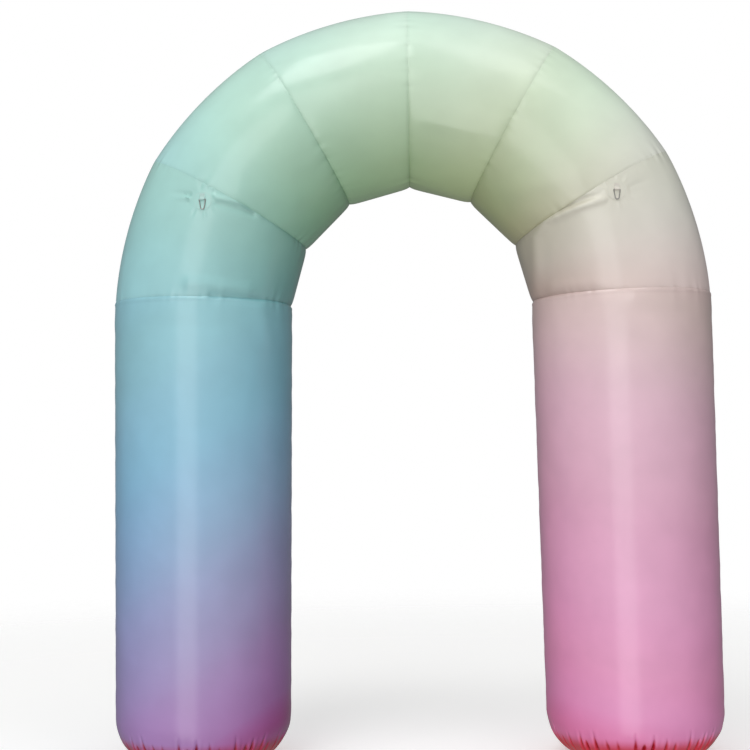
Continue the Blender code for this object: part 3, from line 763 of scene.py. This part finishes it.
def make_leg(side_name, side):
    """A tube of cloth with its foot cut finer for the gathers, then blown up."""
    name = "leg_" + side_name
    middle = side * LEG_TOP_X
    piece = raise_tube(middle, LEG_AROUND, leg_heights())
    cut_foot_finer(piece)
    places = vertex_places(piece)
    angle = np.arctan2(places[:, 1], places[:, 0] - middle)
    skin, below = leg_skin(name, side, angle, places[:, 2])
    top = places[:, 2] > BEND_CENTRE_Z - 1e-5
    skin[:, 2] -= np.where(top, SEAM_GAP / 2, 0.0)
    set_places(piece, skin)
    lay_tube_map(piece, angle, skin[:, 2], below)
    # How deep each point lies in a gather: the mask for the painted shade and painted reflected red light
    # there.
    depth = np.clip(-gathers(angle, places[:, 2]) / GATHER_DEPTH, 0.0, 1.0)
    in_fold = piece.data.attributes.new("in_fold", "FLOAT", "POINT")
    in_fold.data.foreach_set("value", depth.astype(np.float32))
    cloth = printed_satin_with_painted_shade(
        "print_" + name, *PRINTS_AND_PAINTED_SHADE[name], lean=GRADIENT_LEAN[side_name], hem_red=HEM_REDS[side_name]
    )
    finish_cloth(piece, name, cloth)


for side_word, side_sign in (("left", -1), ("right", 1)):
    make_leg(side_word, side_sign)

# Foot cloths: a round of plain red cloth closes each foot and lies on the ground. The leg's hem is
# sewn to its edge, so the gathers run on into it.


def make_base(side_name, side):
    name = "base_" + side_name
    middle = side * LEG_TOP_X
    piece = raise_tube(middle, LEG_AROUND * 2, (HEM_HEIGHT - SEAM_GAP) * np.linspace(0.0, 1.0, 15) ** 2)
    places = vertex_places(piece)
    angle = np.arctan2(places[:, 1], places[:, 0] - middle)
    skin, _ = leg_skin("leg_" + side_name, side, angle, places[:, 2])
    set_places(piece, skin)
    lay_tube_map(piece, angle, skin[:, 2], HEM_HEIGHT - skin[:, 2])
    colour = HEM_REDS[side_name]
    cloth = printed_satin_with_painted_shade("print_" + name, (0.0, 1.0), (0.0, 0.0, 0.0), ((0.0, colour), (1.0, colour)))
    finish_cloth(piece, name, cloth)


for side_word, side_sign in (("left", -1), ("right", 1)):
    make_base(side_word, side_sign)

# Tether patches: a round of doubled cloth, 92 mm across, sewn to the front of each shoulder with one
# row of stitches near its edge. It takes the pull of the tab and ring that a guy rope ties to.
PATCH_RADIUS = 0.046
PATCH_THICK = 0.0012
PATCH_LIFT = 0.0008             # from the shoulder's cloth to the patch's underside
PATCH_SIDES = 96
PATCH_RINGS = 9
THREAD_WIDTH = 0.0009


def shoulder_point(side_name, x, z):
    """A point on the front of a shoulder and the outward normal there."""
    index = 0 if side_name == "right" else len(GORE_NAMES) - 1
    step = 0.002
    x = np.array([x, x + step, x - step, x, x])
    z = np.array([z, z, z, z + step, z - step])
    bend = np.degrees(np.arctan2(z - BEND_CENTRE_Z, x))
    centre, half_width, _ = gore_section(index, bend)
    around = -np.arccos((np.hypot(x, z - BEND_CENTRE_Z) - centre) / half_width)
    points = gore_skin(index, bend, around)[0]
    normal = Vector(np.cross(points[1] - points[2], points[3] - points[4])).normalized()
    return Vector(points[0]), normal if normal.y < 0 else -normal


def tether_frame(side_name):
    """Middle of the patch, with its across, up and outward directions."""
    centre, normal = shoulder_point(side_name, *TETHERS[side_name])
    across = Vector((1.0, 0.0, 0.0))
    across = (across - normal * across.dot(normal)).normalized()
    return centre, across, normal.cross(across), normal


def new_stitch():
    """One stitch of thick thread: a small ball, drawn out and flattened."""
    bpy.ops.object.select_all(action="DESELECT")
    bpy.ops.mesh.primitive_uv_sphere_add(
        segments=8, ring_count=6, radius=THREAD_WIDTH / 2, location=(0, 0, 0)
    )
    stitch = bpy.context.object
    bpy.ops.object.mode_set(mode="EDIT")
    bpy.ops.mesh.select_all(action="SELECT")
    bpy.ops.transform.resize(value=(3.6, 1.0, 0.8))
    bpy.ops.object.mode_set(mode="OBJECT")
    return stitch


def sew(stitch, spots, name):
    """Copy one stitch to each spot (place, direction of the thread, outward normal) as one piece."""
    copies = []
    for place, run, normal in spots:
        copy = stitch.copy()
        copy.data = stitch.data.copy()
        scene.collection.objects.link(copy)
        side = normal.cross(run).normalized()
        turn = Matrix((run, side, normal)).transposed().to_4x4()
        copy.data.transform(Matrix.Translation(place) @ turn)
        copies.append(copy)
    bpy.ops.object.select_all(action="DESELECT")
    for copy in copies:
        copy.select_set(True)
    bpy.context.view_layer.objects.active = copies[0]
    bpy.ops.object.join()
    row = bpy.context.object
    row.name = row.data.name = name
    bpy.ops.object.shade_smooth()
    return row


def make_patch(side_name):
    name = "patch_" + side_name
    centre, across, up, _ = tether_frame(side_name)
    bpy.ops.object.select_all(action="DESELECT")
    bpy.ops.mesh.primitive_circle_add(
        vertices=PATCH_SIDES, radius=PATCH_RADIUS, fill_type="NGON", location=(0, 0, 0)
    )
    piece = bpy.context.object
    bpy.ops.object.mode_set(mode="EDIT")
    bpy.ops.mesh.select_mode(type="FACE")
    bpy.ops.mesh.select_all(action="SELECT")
    for _ in range(PATCH_RINGS):
        bpy.ops.mesh.inset(thickness=PATCH_RADIUS / (PATCH_RINGS + 1))
    bpy.ops.mesh.poke()
    bpy.ops.object.mode_set(mode="OBJECT")
    flat = vertex_places(piece)
    skin = np.empty_like(flat)
    for k, (u, v, _) in enumerate(flat):
        spot = centre + across * u + up * v
        place, normal = shoulder_point(side_name, spot.x, spot.z)
        skin[k] = place + normal * PATCH_LIFT
    set_places(piece, skin)
    lay_cloth_map(piece, flat[:, 0] + 1.0, flat[:, 1])
    bpy.ops.object.mode_set(mode="EDIT")
    bpy.ops.mesh.select_all(action="SELECT")
    bpy.ops.mesh.normals_make_consistent(inside=False)
    bpy.ops.object.mode_set(mode="OBJECT")
    if piece.data.polygons[0].normal.y > 0:
        piece.data.flip_normals()
    thick = piece.modifiers.new("doubled_cloth", "SOLIDIFY")
    thick.thickness = PATCH_THICK
    thick.offset = 1.0
    bpy.ops.object.modifier_apply(modifier=thick.name)
    cloth = printed_satin_with_painted_shade("print_" + name, *PRINTS_AND_PAINTED_SHADE["shoulder_" + side_name])
    finish_piece(piece, name, "_cloth", cloth, 40)


def patch_stitches(side_name):
    """Spots of the stitches round a patch, a few millimetres inside its edge."""
    centre, across, up, _ = tether_frame(side_name)
    count, radius = 64, PATCH_RADIUS - 0.004
    rim = []
    for k in range(count):
        turn = 2 * math.pi * k / count
        spot = centre + across * (radius * math.cos(turn)) + up * (radius * math.sin(turn))
        place, normal = shoulder_point(side_name, spot.x, spot.z)
        run = up * math.cos(turn) - across * math.sin(turn)
        run = (run - normal * run.dot(normal)).normalized()
        rim.append((place + normal * (PATCH_LIFT + PATCH_THICK + 0.0002), run, normal))
    return rim


# Webbing tabs: 24 mm polyester webbing, folded over the ring's bar and sewn to the patch through both
# layers with a stitched box and cross.
TAB_WIDTH = 0.024
TAB_LENGTH = 0.030
WEB_THICK = 0.0015
LOOP_OUTER = 0.0049
LOOP_MIDDLE = 0.0039            # radius of the webbing's middle line round the bar
RING_BAR_RISE = 0.006           # the bar lies this far above the patch's middle
WEB_RIBS = 4200.0               # radians per metre across and along the webbing
WEB_PICKS = 3100.0
WEB_COLOURS = {"left": (0.46, 0.68, 0.64), "right": (0.74, 0.70, 0.62)}
WEB_TONES = (0.86, 1.06)
WEB_RELIEF = 0.00010
WEB_ROUGHNESS = 0.55
THREAD_COLOUR = (0.56, 0.60, 0.55)
THREAD_FUZZ = (2500.0, 1.0)
THREAD_TONES = (0.85, 1.08)
THREAD_ROUGHNESS = 0.5


def printed_webbing(name, colour):
    """Woven webbing, dyed close to the cloth around it."""
    webbing, tree, shader = new_material(name)
    twill = crossed_threads(tree, cloth_axes(tree), (WEB_RIBS, WEB_PICKS))
    tone = ramped(tree, twill, (-1.0, 1.0), WEB_TONES)
    tree.links.new(scaled(tree, colour, tone), shader.inputs["Base Color"])
    emboss(tree, shader, maths(tree, "MULTIPLY", twill, WEB_RELIEF))
    shader.inputs["Roughness"].default_value = WEB_ROUGHNESS
    return webbing


def bar_place(side_name):
    """Middle of the ring's bar."""
    centre, across, up, normal = tether_frame(side_name)
    return centre + up * RING_BAR_RISE + normal * (PATCH_LIFT + PATCH_THICK + SEAM_GAP + LOOP_OUTER)


def webbing_line():
    """The folded webbing's middle line, (up, out) from the bar: lower layer, loop, upper layer."""
    low, high = WEB_THICK / 2 - LOOP_OUTER, WEB_THICK * 1.5 + 0.0001 - LOOP_OUTER
    line = [(TAB_LENGTH * (1 - k / 14), low + (-LOOP_MIDDLE - low) * (k / 14) ** 3) for k in range(14)]
    for k in range(19):
        turn = math.radians(-90 - 215 * k / 18)
        line.append((LOOP_MIDDLE * math.cos(turn), LOOP_MIDDLE * math.sin(turn)))
    start_up, start_out = line[-1]
    for k in range(1, 17):
        share = k / 16
        ease = 1 - (1 - min(1.0, share * 1.9)) ** 2
        line.append((start_up + (TAB_LENGTH - start_up) * share, start_out + (high - start_out) * ease))
    return line


def make_tab(side_name):
    name = "tab_" + side_name
    across, up, normal = tether_frame(side_name)[1:]
    bar = bar_place(side_name)
    line = webbing_line()
    bpy.ops.object.select_all(action="DESELECT")
    bpy.ops.mesh.primitive_grid_add(
        x_subdivisions=12, y_subdivisions=len(line) - 1, size=1.0, location=(0, 0, 0)
    )
    piece = bpy.context.object
    places = vertex_places(piece)
    lengths = np.concatenate([[0.0], np.cumsum(np.hypot(*np.diff(np.array(line), axis=0).T))])
    rows = np.rint((places[:, 1] + 0.5) * (len(line) - 1)).astype(int)
    strip = np.empty_like(places)
    for k, (share, row) in enumerate(zip(places[:, 0], rows)):
        rise, out = line[row]
        strip[k] = bar + across * (share * TAB_WIDTH) + up * rise + normal * out
    set_places(piece, strip)
    lay_cloth_map(piece, places[:, 0] * TAB_WIDTH, lengths[rows])
    thick = piece.modifiers.new("webbing_thickness", "SOLIDIFY")
    thick.thickness = WEB_THICK
    thick.offset = 0.0
    bpy.ops.object.modifier_apply(modifier=thick.name)
    edge = piece.modifiers.new("soft_edge", "BEVEL")
    edge.width = 0.0004
    edge.segments = 2
    edge.angle_limit = math.radians(50)
    bpy.ops.object.modifier_apply(modifier=edge.name)
    webbing = printed_webbing("webbing_" + side_name, WEB_COLOURS[side_name])
    finish_piece(piece, name, "_webbing", webbing, 40)


def tab_stitches(side_name):
    """Spots of the stitched box and cross that hold both layers of a tab."""
    across, up, normal = tether_frame(side_name)[1:]
    bar = bar_place(side_name)
    out = 2 * WEB_THICK + 0.0002 - LOOP_OUTER
    half, low, high = TAB_WIDTH / 2 - 0.003, 0.0135, TAB_LENGTH - 0.003
    corners = [(-half, low), (half, low), (half, high), (-half, high), (-half, low)]
    runs = list(zip(corners, corners[1:])) + [((-half, low), (half, high)), ((half, low), (-half, high))]
    spots = []
    for (u0, v0), (u1, v1) in runs:
        length = math.hypot(u1 - u0, v1 - v0)
        count = max(2, round(length / 0.0036))
        run = (across * (u1 - u0) + up * (v1 - v0)).normalized()
        for k in range(count):
            share = (k + 0.5) / count
            place = bar + across * (u0 + (u1 - u0) * share) + up * (v0 + (v1 - v0) * share) + normal * out
            spots.append((place, run, normal))
    return spots


thread, tree, shader = new_material("sewing_thread")
tone = ramped(tree, noise(tree, *THREAD_FUZZ), NOISE_SPAN, THREAD_TONES)
tree.links.new(scaled(tree, THREAD_COLOUR, tone), shader.inputs["Base Color"])
shader.inputs["Roughness"].default_value = THREAD_ROUGHNESS

stitch = new_stitch()
for side_word in ("left", "right"):
    make_patch(side_word)
    make_tab(side_word)
    rows = sew(stitch, patch_stitches(side_word) + tab_stitches(side_word), "stitches_" + side_word)
    rows.data.materials.append(thread)
    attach(rows, "root")
bpy.data.objects.remove(stitch)

# Rings: a long D of 4.5 mm steel wire, bent round a former and welded shut at the middle of its bar.
# Its bar sits in the webbing and its sides run in to a round tip that rests near the cloth.
RING_WIRE = 0.00225
RING_HALF_WIDTH = 0.0155
RING_LENGTH = 0.052
RING_TIP_RADIUS = 0.009
RING_CORNER = 0.0035
RING_TIP_DROP = 0.0035
WIRE_SIDES = 20
ZINC_SPOTS = (420.0, 4.0)
ZINC_COLOURS = ((0.24, 0.23, 0.22), (0.50, 0.49, 0.47))
ZINC_DULLNESS = (0.26, 0.46)
SCUFF_DEPTH = 0.00008


def make_ring(side_name):
    """Wire section at the middle of the bar, extruded and spun round the D, then laid in place."""
    name = "ring_" + side_name
    corner_x, tip_y = RING_HALF_WIDTH - RING_CORNER, -(RING_LENGTH - 2 * RING_WIRE - RING_TIP_RADIUS)
    apart = math.hypot(corner_x, tip_y + RING_CORNER)
    lean = math.atan2(corner_x, -tip_y - RING_CORNER) - math.asin((RING_TIP_RADIUS - RING_CORNER) / apart)
    side = math.sqrt(apart ** 2 - (RING_TIP_RADIUS - RING_CORNER) ** 2)
    bpy.ops.object.select_all(action="DESELECT")
    bpy.ops.mesh.primitive_circle_add(
        vertices=WIRE_SIDES, radius=RING_WIRE, location=(0, 0, 0), rotation=(0, math.pi / 2, 0)
    )
    piece = bpy.context.object
    bpy.ops.object.transform_apply(location=True, rotation=True, scale=True)
    bpy.ops.object.mode_set(mode="EDIT")
    bpy.ops.mesh.select_mode(type="EDGE")
    bpy.ops.mesh.select_all(action="SELECT")

    def straight(x, y):
        bpy.ops.mesh.extrude_region_move(TRANSFORM_OT_translate={"value": (x, y, 0.0)})

    def bent(degrees, x, y, steps):
        bpy.ops.mesh.spin(steps=steps, angle=math.radians(degrees), center=(x, y, 0.0), axis=(0.0, 0.0, 1.0))

    turn = 90 + math.degrees(lean)
    straight(corner_x, 0.0)
    bent(turn, corner_x, -RING_CORNER, 8)
    straight(-side * math.sin(lean), -side * math.cos(lean))
    bent(180 - 2 * math.degrees(lean), 0.0, tip_y, 18)
    straight(-side * math.sin(lean), side * math.cos(lean))
    bent(turn, -corner_x, -RING_CORNER, 8)
    straight(corner_x, 0.0)
    bpy.ops.mesh.select_all(action="SELECT")
    bpy.ops.mesh.remove_doubles(threshold=0.00002)
    bpy.ops.mesh.normals_make_consistent(inside=False)
    bpy.ops.object.mode_set(mode="OBJECT")
    across, up, normal = tether_frame(side_name)[1:]
    places = vertex_places(piece)
    drop = RING_TIP_DROP * places[:, 1] / RING_LENGTH
    bar = bar_place(side_name)
    basis = np.array([across, up, normal])
    set_places(piece, places @ basis + np.array(bar) + drop[:, None] * np.array(normal))
    piece.name = piece.data.name = name + "_wire"
    piece.data.materials.append(steel)
    bpy.ops.object.select_all(action="DESELECT")
    piece.select_set(True)
    bpy.ops.object.shade_smooth()
    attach(piece, "root")
    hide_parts(name)


steel, tree, shader = new_material("zinc_steel_wire")
spots = noise(tree, *ZINC_SPOTS)
tone = node(tree, "ValToRGB", {"Fac": spots})
for point, colour in zip(tone.color_ramp.elements, ZINC_COLOURS):
    point.color = (*colour, 1.0)
tree.links.new(tone.outputs[0], shader.inputs["Base Color"])
tree.links.new(ramped(tree, spots, NOISE_SPAN, ZINC_DULLNESS), shader.inputs["Roughness"])
emboss(tree, shader, maths(tree, "MULTIPLY", spots, SCUFF_DEPTH))
shader.inputs["Metallic"].default_value = 1.0
for side_word in ("left", "right"):
    make_ring(side_word)
